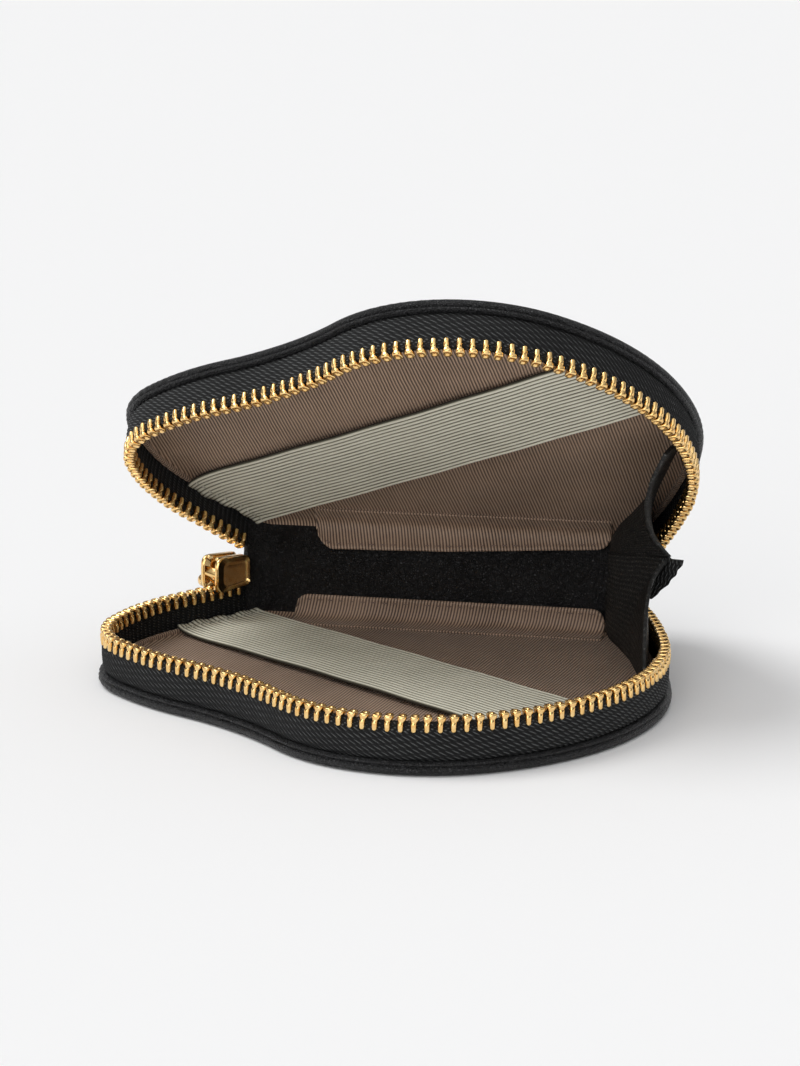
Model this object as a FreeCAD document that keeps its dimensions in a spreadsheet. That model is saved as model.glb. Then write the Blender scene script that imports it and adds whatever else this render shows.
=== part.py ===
import FreeCAD, Part
import Sketcher
import math
import os
from FreeCAD import Vector, Rotation, Placement

# Zip-around clam-shell coin purse, shown open.
# Frame: X along the spine (hinge edge), front towards -Y, +Z up, lower shell
# resting on z = 0, origin on the resting face near the middle of the outline.
# Both shells are drawn closed; the upper one is then turned about the hinge line.

doc = FreeCAD.newDocument("coin_purse")
sheet = doc.addObject("Spreadsheet::Sheet", "dims")
CELLS = [
    # outline, measured at the tips of the zip teeth; starts at the left end of the spine
    ("start_x", -31.2), ("start_y", 40.0), ("start_heading", -125.16),
    ("seg_len_a", 20.0), ("seg_rad_a", 0.0),
    ("seg_len_b", 19.11), ("seg_rad_b", 38.3),
    ("seg_len_c", 15.06), ("seg_rad_c", 16.5),
    ("seg_len_d", 17.57), ("seg_rad_d", 56.7),
    ("seg_len_e", 24.99), ("seg_rad_e", -72.4),
    ("seg_len_f", 38.35), ("seg_rad_f", 29.4),
    ("seg_len_g", 17.97), ("seg_rad_g", 43.4),
    ("seg_len_i", 41.64), ("seg_rad_i", 46.9),
    ("seg_len_j", 28.81), ("seg_rad_j", 131.8),
    ("corner_rad", 6.0),
    # heights of one half, measured from its outer face
    ("half_height", 10.0),
    ("panel_thick", 1.2), ("panel_inset", 1.62),
    ("board_thick", 0.8), ("board_inset", 2.2),
    ("lining_thick", 0.5), ("lining_inset", 1.8),
    ("piping_rad", 1.25), ("piping_height", 1.35), ("piping_inset", 0.3),
    ("tape_foot", 2.6), ("tape_thick", 0.7), ("tape_inset", 0.5), ("tape_edge", 0.9),
    ("spine_thick", 1.2), ("spine_gap", 0.25),
    # zip
    ("tooth_pitch", 2.1), ("tooth_width", 1.05), ("tooth_tall", 2.55),
    ("tooth_thick", 2.2), ("tooth_gap", 0.15), ("tooth_slot", 0.76), ("tooth_roof", 0.7),
    ("upper_notch", 26.0),
    ("slider_start", 6.0), ("slider_long", 8.0), ("slider_skin", 0.9), ("slider_tall", 3.9),
    ("slider_gap", 0.35), ("slider_travel", 8.0),
    ("bail_reach", 3.0), ("bail_tall", 2.6), ("bail_long", 4.6), ("bail_wire", 0.9),
    ("pull_long", 17.0), ("pull_wide", 5.0), ("pull_thick", 1.0), ("pull_eye", 1.0),
    ("stop_long", 2.6), ("stop_tall", 3.0),
    ("tail_out", 5.6), ("tail_tall", 6.2), ("tail_thick", 1.9), ("tail_back", 10.5),
    # inside
    ("band_thick", 0.6), ("band_wide", 20.0), ("band_left_x", -32.0), ("band_left_y", 27.9),
    ("band_right_x", 29.4), ("band_right_y", -14.9),
    ("gusset_thick", 0.9), ("gusset_edge", 0.45),
    # hinge line and opening
    ("hinge_y", 43.9), ("hinge_over", 4.19), ("hinge_tilt", -0.13), ("hinge_twist", 0.02),
    ("opening", 39.6),
]
for i, (name, value) in enumerate(CELLS, start=1):
    sheet.set("A%d" % i, name.replace("_", " "))
    sheet.set("B%d" % i, "%s" % value)
    sheet.setAlias("B%d" % i, name)
doc.recompute()
V = {name: float(sheet.get(name)) for name, _ in CELLS}
H = V["half_height"]

# ---------------------------------------------------------------- outline
class Seg:
    """One tangent piece of the outline: a straight (rad 0) or an arc, signed radius, + turns left."""

    def __init__(self, x, y, heading, length, rad):
        self.x, self.y, self.heading, self.length, self.rad = x, y, heading, length, rad

    def at(self, s, off=0.0):
        h = self.heading
        if self.rad == 0.0:
            x, y = self.x + s * math.cos(h), self.y + s * math.sin(h)
        else:
            h2 = h + s / self.rad
            cx = self.x - self.rad * math.sin(h)
            cy = self.y + self.rad * math.cos(h)
            x, y = cx + self.rad * math.sin(h2), cy - self.rad * math.cos(h2)
            h = h2
        return x + off * math.sin(h), y - off * math.cos(h), h

    def geometry(self, s0, s1, off=0.0):
        x0, y0, _ = self.at(s0, off)
        x1, y1, _ = self.at(s1, off)
        if self.rad == 0.0:
            return Part.LineSegment(Vector(x0, y0, 0), Vector(x1, y1, 0))
        xm, ym, _ = self.at(0.5 * (s0 + s1), off)
        return Part.Arc(Vector(x0, y0, 0), Vector(xm, ym, 0), Vector(x1, y1, 0))


RUN = []
x, y, head = V["start_x"], V["start_y"], math.radians(V["start_heading"])
for key in "abcdefgij":
    seg = Seg(x, y, head, V["seg_len_" + key], V["seg_rad_" + key])
    RUN.append(seg)
    x, y, head = seg.at(seg.length)
TOTAL = sum(s.length for s in RUN)
SPINE_Y = V["start_y"]


def run_at(s, off=0.0):
    for seg in RUN:
        if s <= seg.length or seg is RUN[-1]:
            return seg.at(s, off)
        s -= seg.length


def run_geometry(s0, s1, off=0.0):
    out, base = [], 0.0
    for seg in RUN:
        a, b = max(s0 - base, 0.0), min(s1 - base, seg.length)
        if b - a > 1e-6:
            out.append(seg.geometry(a, b, off))
        base += seg.length
    return out


# corner arcs joining the run to the spine line
RC = V["corner_rad"]
turn_left = math.radians(180.0) + RUN[0].heading  # angle between spine line (heading 180) and first segment
TRIM_LEFT = RC * math.tan(0.5 * turn_left)
last = RUN[-1]
ocx = last.x - last.rad * math.sin(last.heading)
ocy = last.y + last.rad * math.cos(last.heading)
cy = SPINE_Y - RC
cx = ocx + math.sqrt((last.rad - RC) ** 2 - (cy - ocy) ** 2)
ang = math.atan2(cy - ocy, cx - ocx)
TRIM_RIGHT = last.length - last.rad * (ang + math.pi / 2 - last.heading)
RUN_A, RUN_B = TRIM_LEFT, TOTAL - TRIM_RIGHT
hr = run_at(RUN_B)[2]
CORNER_R = Seg(*run_at(RUN_B)[:2], hr, RC * (math.pi - hr), RC)
xr, yr, _ = CORNER_R.at(CORNER_R.length)
xl = run_at(0)[0] + TRIM_LEFT
SPINE = Seg(xr, SPINE_Y, math.pi, xr - xl, 0.0)
CORNER_L = Seg(xl, SPINE_Y, math.pi, RC * turn_left, RC)


def back_geometry(off=0.0):
    return [s.geometry(0.0, s.length, off) for s in (CORNER_R, SPINE, CORNER_L)]


def outline(inset):
    """Closed outline, moved inwards by inset."""
    return run_geometry(RUN_A, RUN_B, -inset) + back_geometry(-inset)


def band(s0, s1, off_in, off_out):
    """Closed strip along the run between two offsets."""
    a, b = run_geometry(s0, s1, off_out), run_geometry(s0, s1, off_in)
    po0, po1 = run_at(s0, off_out), run_at(s1, off_out)
    pi0, pi1 = run_at(s0, off_in), run_at(s1, off_in)
    return a + [Part.LineSegment(Vector(po1[0], po1[1], 0), Vector(pi1[0], pi1[1], 0))] + b + [
        Part.LineSegment(Vector(pi0[0], pi0[1], 0), Vector(po0[0], po0[1], 0))]


def back_band(off_in, off_out, whole):
    """Closed strip along the spine; whole includes the left corner."""
    segs = (CORNER_R, SPINE, CORNER_L) if whole else (CORNER_R, SPINE)
    a = [g.geometry(0.0, g.length, off_out) for g in segs]
    b = [g.geometry(0.0, g.length, off_in) for g in segs]
    tail = segs[-1]
    po0, po1 = CORNER_R.at(0, off_out), tail.at(tail.length, off_out)
    pi0, pi1 = CORNER_R.at(0, off_in), tail.at(tail.length, off_in)
    return a + [Part.LineSegment(Vector(po1[0], po1[1], 0), Vector(pi1[0], pi1[1], 0))] + b + [
        Part.LineSegment(Vector(pi0[0], pi0[1], 0), Vector(po0[0], po0[1], 0))]


def polygon(pts):
    vs = [Vector(px, py, 0) for px, py in pts]
    return [Part.LineSegment(vs[i], vs[(i + 1) % len(vs)]) for i in range(len(vs))]


# ---------------------------------------------------------------- helpers
axis = Vector(1, V["hinge_twist"], V["hinge_tilt"])
hinge_point = Vector(0, V["hinge_y"], H + V["hinge_over"])
turn = Rotation(axis, -V["opening"])
LID = Placement(hinge_point - turn.multVec(hinge_point), turn)
PARTS = []


def plane(body, role):
    return next(f for f in body.Origin.OriginFeatures if f.Role == role)


def new_body(label, lid):
    body = doc.addObject("PartDesign::Body", label)
    body.Label = label
    if lid:
        body.Placement = LID
    PARTS.append(body)
    return body


def sketch(body, name, geo, role="XY_Plane", lift=None):
    sk = body.newObject("Sketcher::SketchObject", name)
    sk.AttachmentSupport = [(plane(body, role), "")]
    sk.MapMode = "FlatFace"
    for g in geo:
        if isinstance(g, Part.Arc):
            circle = g.toShape().Curve
            e = g.toShape()
            if circle.Axis.z < 0:
                a0, a1 = e.Vertexes[1].Point, e.Vertexes[0].Point
            else:
                a0, a1 = e.Vertexes[0].Point, e.Vertexes[1].Point
            c = circle.Center
            t0 = math.atan2(a0.y - c.y, a0.x - c.x)
            t1 = math.atan2(a1.y - c.y, a1.x - c.x)
            while t1 <= t0:
                t1 += 2 * math.pi
            sk.addGeometry(Part.ArcOfCircle(Part.Circle(Vector(c.x, c.y, 0), Vector(0, 0, 1), circle.Radius), t0, t1), False)
        else:
            sk.addGeometry(g, False)
    if lift:
        sk.setExpression(".AttachmentOffset.Base.z", lift)
    return sk


def plate(label, lid, geo, low, thick):
    """A flat piece: outline geo, from height low (measured from the half's outer face), thickness thick."""
    body = new_body(label, lid)
    lift = "2 * dims.half_height - (%s) - (%s)" % (low, thick) if lid else low
    sk = sketch(body, label + "_outline", geo, lift=lift)
    pad = body.newObject("PartDesign::Pad", label + "_pad")
    pad.Profile = sk
    pad.setExpression("Length", thick)
    body.Tip = pad
    return body


def piping(label, lid):
    """Round edge bead swept along the closed outline."""
    body = new_body(label, lid)
    zc = "2 * dims.half_height - dims.piping_height" if lid else "dims.piping_height"
    zv = 2 * H - V["piping_height"] if lid else V["piping_height"]
    path = sketch(body, label + "_path", outline(V["piping_inset"]), lift=zc)
    ring = body.newObject("Sketcher::SketchObject", label + "_round")
    ring.AttachmentSupport = [(plane(body, "YZ_Plane"), "")]
    ring.MapMode = "FlatFace"
    ring.addGeometry(Part.Circle(Vector(SPINE_Y - V["piping_inset"], zv, 0), Vector(0, 0, 1), V["piping_rad"]), False)
    ring.addConstraint(Sketcher.Constraint("Radius", 0, V["piping_rad"]))
    ring.setExpression("Constraints[0]", "dims.piping_rad")
    pipe = body.newObject("PartDesign::AdditivePipe", label + "_sweep")
    pipe.Profile = ring
    pipe.Spine = path
    body.Tip = pipe
    return body


def shape_part(label, shape, lid):
    obj = doc.addObject("Part::Feature", label)
    obj.Label = label
    obj.Shape = shape
    if lid:
        obj.Placement = LID
    PARTS.append(obj)
    return obj


def prism(s, profile, width):
    """Extrude a closed (outward, height) profile along the run, centred on the run position s."""
    px, py, h = run_at(s)
    t, n = Vector(math.cos(h), math.sin(h), 0), Vector(math.sin(h), -math.cos(h), 0)
    base = Vector(px, py, 0) - t * (0.5 * width)
    pts = [base + n * a + Vector(0, 0, b) for a, b in profile]
    return Part.Face(Part.makePolygon(pts + [pts[0]])).extrude(t * width)


def clip_profile(lid, tall, thick, roof):
    """A staple that straddles the edge of the tape; it opens away from the meeting line."""
    c, ht, hs = -V["tape_inset"], 0.5 * thick, 0.5 * V["tooth_slot"]
    top = H - V["tooth_gap"]
    foot = top - tall
    p = [(c - ht, foot), (c - ht, top), (c + ht, top), (c + ht, foot), (c + hs, foot), (c + hs, top - roof),
         (c - hs, top - roof), (c - hs, foot)]
    return [(a, 2 * H - b) for a, b in p] if lid else p


# ---------------------------------------------------------------- the two shells
TAPE_IN = -(V["tape_inset"] + 0.5 * V["tape_thick"])
TAPE_OUT = -(V["tape_inset"] - 0.5 * V["tape_thick"])
SPINE_OUT = TAPE_OUT + 0.1
SPINE_IN = SPINE_OUT - V["spine_thick"]

ux, uy = V["band_right_x"] - V["band_left_x"], V["band_right_y"] - V["band_left_y"]
ul = math.hypot(ux, uy)
ux, uy = ux / ul, uy / ul


def strap(lid):
    """Elastic band across the floor: a straight strap cut to the inner outline of the tape."""
    floor = V["panel_thick"] + V["board_thick"] + V["lining_thick"]
    z0 = 2 * H - floor - V["band_thick"] if lid else floor
    w = 0.5 * V["band_wide"]
    mx, my = 0.5 * (V["band_left_x"] + V["band_right_x"]), 0.5 * (V["band_left_y"] + V["band_right_y"])
    far = 80.0
    pts = [Vector(mx + a * far * ux - b * w * uy, my + a * far * uy + b * w * ux, z0) for a, b in ((-1, -1), (1, -1), (1, 1), (-1, 1))]
    slab = Part.Face(Part.makePolygon(pts + [pts[0]])).extrude(Vector(0, 0, V["band_thick"]))
    rim = Part.Wire([g.toShape() for g in outline(-SPINE_IN + 0.1)])
    plug = Part.Face(rim).extrude(Vector(0, 0, V["band_thick"]))
    plug.translate(Vector(0, 0, z0))
    return slab.common(plug)


def gusset(lid):
    """Leather side gusset at the closed end of the zip: an upright leaf between floor and meeting plane, its front edge sloping back up to the crease."""
    floor = V["panel_thick"] + V["board_thick"] + V["lining_thick"]
    top = H - V["gusset_edge"]
    front, back = Vector(43.0, 5.0, 0), Vector(33.6, 36.6, 0)
    d = back - front
    L = d.Length
    d.normalize()
    rise = [(0.0, floor + V["band_thick"]), (0.0, floor + 2.4), (7.0, floor + 3.6), (18.0, top - 1.2), (25.0, top), (L, top), (L, floor + V["band_thick"])]
    pts = []
    for a, b in rise:
        z = 2 * H - b if lid else b
        q = front + d * min(a, L)
        pts.append(Vector(q.x, q.y, z))
    side = Vector(d.y, -d.x, 0) * V["gusset_thick"]
    return Part.Face(Part.makePolygon(pts + [pts[0]])).extrude(side)


FLOOR = "dims.panel_thick + dims.board_thick"
for lid, side in ((False, "lower"), (True, "upper")):
    plate(side + "_outer_panel", lid, outline(V["panel_inset"]), "0 * dims.panel_thick", "dims.panel_thick")
    plate(side + "_stiffener_board", lid, outline(V["board_inset"]), "dims.panel_thick", "dims.board_thick")
    plate(side + "_lining", lid, outline(V["lining_inset"]), FLOOR, "dims.lining_thick")
    piping(side + "_edge_piping", lid)
    s0 = V["upper_notch"] if lid else RUN_A
    plate(side + "_zip_tape", lid, band(s0, RUN_B, TAPE_IN, TAPE_OUT), "dims.tape_foot",
          "dims.half_height - dims.tape_foot - dims.tape_edge")
    plate("rear_spine_" + side, lid, back_band(SPINE_IN, SPINE_OUT, not lid), "dims.tape_foot",
          "dims.half_height - dims.tape_foot - dims.spine_gap")
    # row of teeth
    teeth = []
    s = V["upper_notch"] + 1.2 if lid else V["slider_start"]
    phase = 0.5 * V["tooth_pitch"] if lid else 0.0
    k = 0
    while True:
        sk_ = V["slider_start"] + k * V["tooth_pitch"] + phase
        k += 1
        if sk_ > RUN_B - 5.0:
            break
        if lid and sk_ < V["upper_notch"] + 0.8:
            continue
        teeth.append(prism(sk_, clip_profile(lid, V["tooth_tall"], V["tooth_thick"], V["tooth_roof"]), V["tooth_width"]))
    shape_part(side + "_zip_teeth", Part.makeCompound(teeth), lid)
    shape_part(side + "_end_stop", prism(RUN_B - 2.2, clip_profile(lid, V["stop_tall"], V["tooth_thick"] + 0.4, V["tooth_roof"]), V["stop_long"]), lid)
    shape_part(side + "_elastic_band", strap(lid), lid)
    shape_part("right_gusset_" + side, gusset(lid), lid)

# tape tail: the folded ends of both tapes, sticking out past the right end of the zip
px, py, h = run_at(RUN_B - V["tail_back"] + 6.0)
t, n = Vector(math.cos(h), math.sin(h), 0), Vector(math.sin(h), -math.cos(h), 0)
tail0 = Vector(px, py, 0) + n * (TAPE_OUT + 0.02) - t * (0.5 * V["tail_thick"])
zt = H - 0.62 * V["tail_tall"]
tail_pts = [(0.0, zt), (V["tail_out"], zt + 1.0), (V["tail_out"] + 0.4, H + 2.0), (2.4, H + 3.0), (1.6, H + 2.4), (1.6, H - V["tooth_tall"] - 0.35), (0.0, H - V["tooth_tall"] - 0.35)]
tp = [tail0 + n * a + Vector(0, 0, b) for a, b in tail_pts]
shape_part("zip_tape_tail", Part.Face(Part.makePolygon(tp + [tp[0]])).extrude(t * V["tail_thick"]), False)

# ---------------------------------------------------------------- slider and pull
sx, sy, sh = run_at(V["slider_start"])
TV, NV = Vector(math.cos(sh), math.sin(sh), 0), Vector(math.sin(sh), -math.cos(sh), 0)
# local axes of the slider: x along the run, y inwards, z up; origin on the run at its tail end, meeting plane
frame = Rotation(TV, -NV, Vector(0, 0, 1), "XYZ")
SLIDER = Placement(Vector(sx, sy, H), frame)
half_gap = 0.5 * V["tooth_thick"] + V["slider_gap"]
mid = V["tape_inset"]
SL, SKN, ST = V["slider_long"], V["slider_skin"], V["slider_tall"]
lip = 0.5 * V["tape_thick"] + V["slider_gap"]


def local_poly(pts_yz, x0, x1):
    ps = [Vector(x0, a, b) for a, b in pts_yz]
    return Part.Face(Part.makePolygon(ps + [ps[0]])).extrude(Vector(x1 - x0, 0, 0))


low_lip = -V["tooth_tall"] - V["tooth_gap"] - V["slider_gap"]
wing = lambda sg: [(mid + sg * half_gap, ST), (mid + sg * half_gap, low_lip), (mid + sg * lip, low_lip),
                   (mid + sg * lip, low_lip - SKN), (mid + sg * (half_gap + SKN), low_lip - SKN), (mid + sg * (half_gap + SKN), ST)]
outer = local_poly(wing(-1), 0.0, SL)
inner = local_poly(wing(1), 0.0, SL)
neck = local_poly([(mid - half_gap - 0.3, 0.25), (mid + half_gap + 0.3, 0.25), (mid + half_gap + 0.3, ST - 0.4), (mid - half_gap - 0.3, ST - 0.4)], SL - 2.0, SL - 0.4)
slider = outer.fuse([inner, neck]).removeSplitter()
obj = doc.addObject("Part::Feature", "slider_body")
obj.Label = "slider_body"
obj.Shape = slider
obj.Placement = SLIDER
PARTS.append(obj)

# bail: the bridge on the outer wing that holds the pull
yo = mid - half_gap - SKN
bz = 0.5 * V["bail_tall"]
bw = V["bail_wire"]
bx = 0.5 * (SL - V["bail_long"])
reach = V["bail_reach"]
b_pts = [Vector(bx, yo, 0), Vector(bx, yo - reach, 0), Vector(bx + V["bail_long"], yo - reach, 0), Vector(bx + V["bail_long"], yo, 0),
         Vector(bx + V["bail_long"] - bw, yo, 0), Vector(bx + V["bail_long"] - bw, yo - reach + bw, 0), Vector(bx + bw, yo - reach + bw, 0), Vector(bx + bw, yo, 0)]
bail = Part.Face(Part.makePolygon([p + Vector(0, 0, -0.5 * V["bail_wire"]) for p in b_pts + [b_pts[0]]])).extrude(Vector(0, 0, V["bail_wire"]))
obj = doc.addObject("Part::Feature", "slider_bail")
obj.Label = "slider_bail"
obj.Shape = bail
obj.Placement = SLIDER
PARTS.append(obj)

# pull tab: a flat drop-shaped tab; its cross bar sits under the bail and it turns about an upright line
window = V["bail_reach"] - V["bail_wire"]
pin = Vector(bx + 0.5 * V["bail_long"], yo - 0.5 * window, 0)
body = new_body("pull_tab", False)
PL, PW = V["pull_long"], 0.5 * V["pull_wide"]
bar = V["pull_eye"]
outer_pts = [(-0.5 * bar, PW - 0.6), (-0.5 * bar + 0.6, PW), (4.6, PW), (7.0, 0.62 * PW), (9.0, 0.62 * PW), (PL - 3.5, PW), (PL - 1.2, PW), (PL, PW - 1.2)]
outer_pts = outer_pts + [(a, -b) for a, b in reversed(outer_pts)]
hole_pts = [(0.5 * bar, 1.15), (3.9, 1.15), (3.9, -1.15), (0.5 * bar, -1.15)]
sk = sketch(body, "pull_outline", polygon(outer_pts) + polygon(hole_pts), role="XZ_Plane")
pad = body.newObject("PartDesign::Pad", "pull_pad")
pad.Profile = sk
pad.setExpression("Length", "dims.pull_thick")
body.Tip = pad
flip = Rotation(Vector(0, 0, 1), 180)
PULL = Placement(SLIDER.multVec(pin), frame.multiply(flip))
body.Placement = PULL.multiply(Placement(Vector(0, 0.5 * V["pull_thick"], 0), Rotation()))

# ---------------------------------------------------------------- checks and files
doc.recompute()
for o in doc.Objects:
    bad = [w for w in o.State if w in ("Invalid", "Error")]
    if bad:
        raise RuntimeError("%s is %s" % (o.Label, bad))
labels = set()
for p in PARTS:
    shp = p.Shape
    if shp.isNull() or not shp.isValid() or shp.Volume <= 0:
        raise RuntimeError("bad shape: " + p.Label)
    if p.Label in labels:
        raise RuntimeError("label used twice: " + p.Label)
    labels.add(p.Label)
os.makedirs("parts", exist_ok=True)
for p in PARTS:
    p.Shape.exportStep(os.path.join("parts", p.Label + ".step"))
    bb = p.Shape.BoundBox
    print("%-24s solids %3d  volume %8.1f  x %6.1f..%5.1f  y %6.1f..%5.1f  z %5.2f..%5.2f" % (
        p.Label, len(p.Shape.Solids), p.Shape.Volume, bb.XMin, bb.XMax, bb.YMin, bb.YMax, bb.ZMin, bb.ZMax))
print("run length %.2f  trims %.3f %.3f" % (TOTAL, TRIM_LEFT, TRIM_RIGHT))
print("hinge point", tuple(round(c, 3) for c in hinge_point), "axis", tuple(round(c, 5) for c in axis.normalize()))
print("slide direction", tuple(round(c, 5) for c in TV), "pull axis at", tuple(round(c, 3) for c in SLIDER.multVec(pin)))
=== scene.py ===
import bpy
import math
import numpy as np
from mathutils import Matrix, Vector


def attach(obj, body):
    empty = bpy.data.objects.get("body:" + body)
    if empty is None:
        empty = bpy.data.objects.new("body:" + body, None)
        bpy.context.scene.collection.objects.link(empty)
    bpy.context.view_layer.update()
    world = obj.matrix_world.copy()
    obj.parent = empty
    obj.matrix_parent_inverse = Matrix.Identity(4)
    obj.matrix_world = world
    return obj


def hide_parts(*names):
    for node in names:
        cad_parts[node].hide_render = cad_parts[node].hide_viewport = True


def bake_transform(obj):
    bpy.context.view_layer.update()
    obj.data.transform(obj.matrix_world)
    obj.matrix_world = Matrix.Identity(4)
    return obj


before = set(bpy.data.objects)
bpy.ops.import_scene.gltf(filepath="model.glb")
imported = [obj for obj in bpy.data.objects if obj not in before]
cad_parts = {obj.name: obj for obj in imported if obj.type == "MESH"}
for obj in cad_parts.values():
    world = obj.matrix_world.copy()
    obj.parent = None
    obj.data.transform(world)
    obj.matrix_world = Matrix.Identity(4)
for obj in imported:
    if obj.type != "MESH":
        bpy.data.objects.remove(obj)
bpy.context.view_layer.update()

scene = bpy.context.scene
scene.view_settings.view_transform = "Standard"
scene.view_settings.look = "None"
MM = 0.001
H = 10.0

# ------------------------------------------------------------------ outline, as in the CAD
class Seg:
    def __init__(self, x, y, heading, length, rad):
        self.x, self.y, self.heading, self.length, self.rad = x, y, heading, length, rad

    def at(self, s, off=0.0):
        h = self.heading
        if self.rad == 0.0:
            x, y = self.x + s * math.cos(h), self.y + s * math.sin(h)
        else:
            h2 = h + s / self.rad
            cx, cy = self.x - self.rad * math.sin(h), self.y + self.rad * math.cos(h)
            x, y = cx + self.rad * math.sin(h2), cy - self.rad * math.cos(h2)
            h = h2
        return x + off * math.sin(h), y - off * math.cos(h), h


RUN, _x, _y, _h = [], -31.2, 40.0, math.radians(-125.16)
for _l, _r in ((20.0, 0.0), (19.11, 38.3), (15.06, 16.5), (17.57, 56.7), (24.99, -72.4), (38.35, 29.4), (17.97, 43.4), (41.64, 46.9), (28.81, 131.8)):
    RUN.append(Seg(_x, _y, _h, _l, _r))
    _x, _y, _h = RUN[-1].at(_l)
TOTAL = sum(s.length for s in RUN)
RC, SPINE_Y = 6.0, 40.0


def run_at(s, off=0.0):
    for seg in RUN:
        if s <= seg.length or seg is RUN[-1]:
            return seg.at(s, off)
        s -= seg.length


_tl = math.radians(180.0) + RUN[0].heading
TRIM_L = RC * math.tan(0.5 * _tl)
_last = RUN[-1]
_ox, _oy = _last.x - _last.rad * math.sin(_last.heading), _last.y + _last.rad * math.cos(_last.heading)
_cy = SPINE_Y - RC
_cx = _ox + math.sqrt((_last.rad - RC) ** 2 - (_cy - _oy) ** 2)
_a = math.atan2(_cy - _oy, _cx - _ox)
TRIM_R = _last.length - _last.rad * (_a + math.pi / 2 - _last.heading)
RUN_A, RUN_B = TRIM_L, TOTAL - TRIM_R
_xr, _yr, _hr = run_at(RUN_B)
CORNER_R = Seg(_xr, _yr, _hr, RC * (math.pi - _hr), RC)
_xs = CORNER_R.at(CORNER_R.length)[0]
_xl = run_at(0)[0] + TRIM_L
SPINE = Seg(_xs, SPINE_Y, math.pi, _xs - _xl, 0.0)
CORNER_L = Seg(_xl, SPINE_Y, math.pi, RC * _tl, RC)
BACK = [CORNER_R, SPINE, CORNER_L]
BACK_LEN = sum(s.length for s in BACK)
LOOP = (RUN_B - RUN_A) + BACK_LEN


def loop_at(s, off=0.0):
    """Closed perimeter; s = 0 at the left end of the zip, then round the front to the right end and back along the spine."""
    s = s % LOOP
    if s <= RUN_B - RUN_A:
        return run_at(RUN_A + s, off)
    s -= RUN_B - RUN_A
    for seg in BACK:
        if s <= seg.length or seg is BACK[-1]:
            return seg.at(s, off)
        s -= seg.length


# ------------------------------------------------------------------ the turned upper half
AXIS = Vector((1, 0.02, -0.13)).normalized()
HP = Vector((0, 43.9, 14.19))
LID = np.array(Matrix.Rotation(-math.radians(39.6), 3, AXIS))


def lid_point(p):
    """Closed position (mm) to its place in the opened upper half (mm)."""
    p = np.asarray(p, float)
    return (p - np.array(HP)) @ LID.T + np.array(HP)


def half(P, lid):
    """Points as (x, y, height above the half's outer face) to the row frame, in mm."""
    P = np.array(P, float).reshape(-1, 3)
    if not lid:
        return P
    Q = P.copy()
    Q[:, 2] = 2 * H - Q[:, 2]
    return lid_point(Q)


def half_dir(v, lid):
    v = np.array(v, float)
    if not lid:
        return v
    return LID @ (v * np.array([1, 1, -1]))


rng = np.random.default_rng(7)


def smooth_noise(s, seed, waves=7, base=LOOP):
    """A seeded smooth periodic function of a length along the perimeter, about -1 to 1."""
    r = np.random.default_rng(seed)
    out = np.zeros_like(np.asarray(s, float))
    tot = 0.0
    for k in range(1, waves + 1):
        a = 1.0 / k ** 0.6
        out = out + a * np.sin(2 * math.pi * (k * 2 - 1) * np.asarray(s) / base + r.uniform(0, 6.28))
        tot += a * a
    return out / math.sqrt(0.5 * tot) * 0.5


# ------------------------------------------------------------------ mesh helpers
def add(name, P, F, mat, lid=None, uv=None, smooth=True, body=None, flip=False):
    """P in mm; lid False/True turns half coordinates into the row frame, None leaves them."""
    P = np.array(P, float).reshape(-1, 3)
    if lid is not None:
        P = half(P, lid)
    F = [tuple(int(i) for i in f) for f in F]
    if bool(lid) != bool(flip):
        F = [f[::-1] for f in F]
    me = bpy.data.meshes.new(name)
    me.from_pydata((P * MM).tolist(), [], F)
    me.update()
    if uv is not None:
        layer = me.uv_layers.new(name="UVMap")
        idx = np.zeros(len(me.loops), np.int32)
        me.loops.foreach_get("vertex_index", idx)
        layer.data.foreach_set("uv", np.asarray(uv, np.float32)[idx].ravel())
    if smooth:
        me.polygons.foreach_set("use_smooth", [True] * len(me.polygons))
    me.materials.append(mat)
    ob = bpy.data.objects.new(name, me)
    scene.collection.objects.link(ob)
    if body:
        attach(ob, body)
    return ob


def grid_faces(n, m, close_n=False, close_m=False):
    """Faces of an n x m grid of points, index i * m + j."""
    i = np.arange(n if close_n else n - 1)
    j = np.arange(m if close_m else m - 1)
    I, J = np.meshgrid(i, j, indexing="ij")
    I2, J2 = (I + 1) % n, (J + 1) % m
    return np.stack([I * m + J, I2 * m + J, I2 * m + J2, I * m + J2], -1).reshape(-1, 4).tolist()


def path_frames(ss, at):
    q = np.array([at(s) for s in ss])
    t = np.stack([np.cos(q[:, 2]), np.sin(q[:, 2])], 1)
    n = np.stack([np.sin(q[:, 2]), -np.cos(q[:, 2])], 1)
    return q[:, :2], t, n


def swept(ss, at, prof, closed=False, vary=None):
    """Sweep a closed profile of (outward, height) along a plan path. Returns points, faces, uv (s, girth)."""
    xy, t, n = path_frames(ss, at)
    prof = np.array(prof, float)
    m = len(prof)
    girth = np.concatenate([[0], np.cumsum(np.linalg.norm(np.diff(np.vstack([prof, prof[:1]]), axis=0), axis=1))])[:m]
    P = np.zeros((len(ss), m, 3))
    for j in range(m):
        off = prof[j, 0] + (vary(ss, j)[0] if vary else 0.0)
        hh = prof[j, 1] + (vary(ss, j)[1] if vary else 0.0)
        P[:, j, :2] = xy + n * np.reshape(off, (-1, 1)) if np.ndim(off) else xy + n * off
        P[:, j, 2] = hh
    F = grid_faces(len(ss), m, closed, True)
    uv = np.stack([np.repeat(np.asarray(ss, float), m), np.tile(girth, len(ss))], 1)
    if not closed:
        F += [tuple(range(m))[::-1], tuple(range((len(ss) - 1) * m, len(ss) * m))]
    return P.reshape(-1, 3), F, uv


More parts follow.
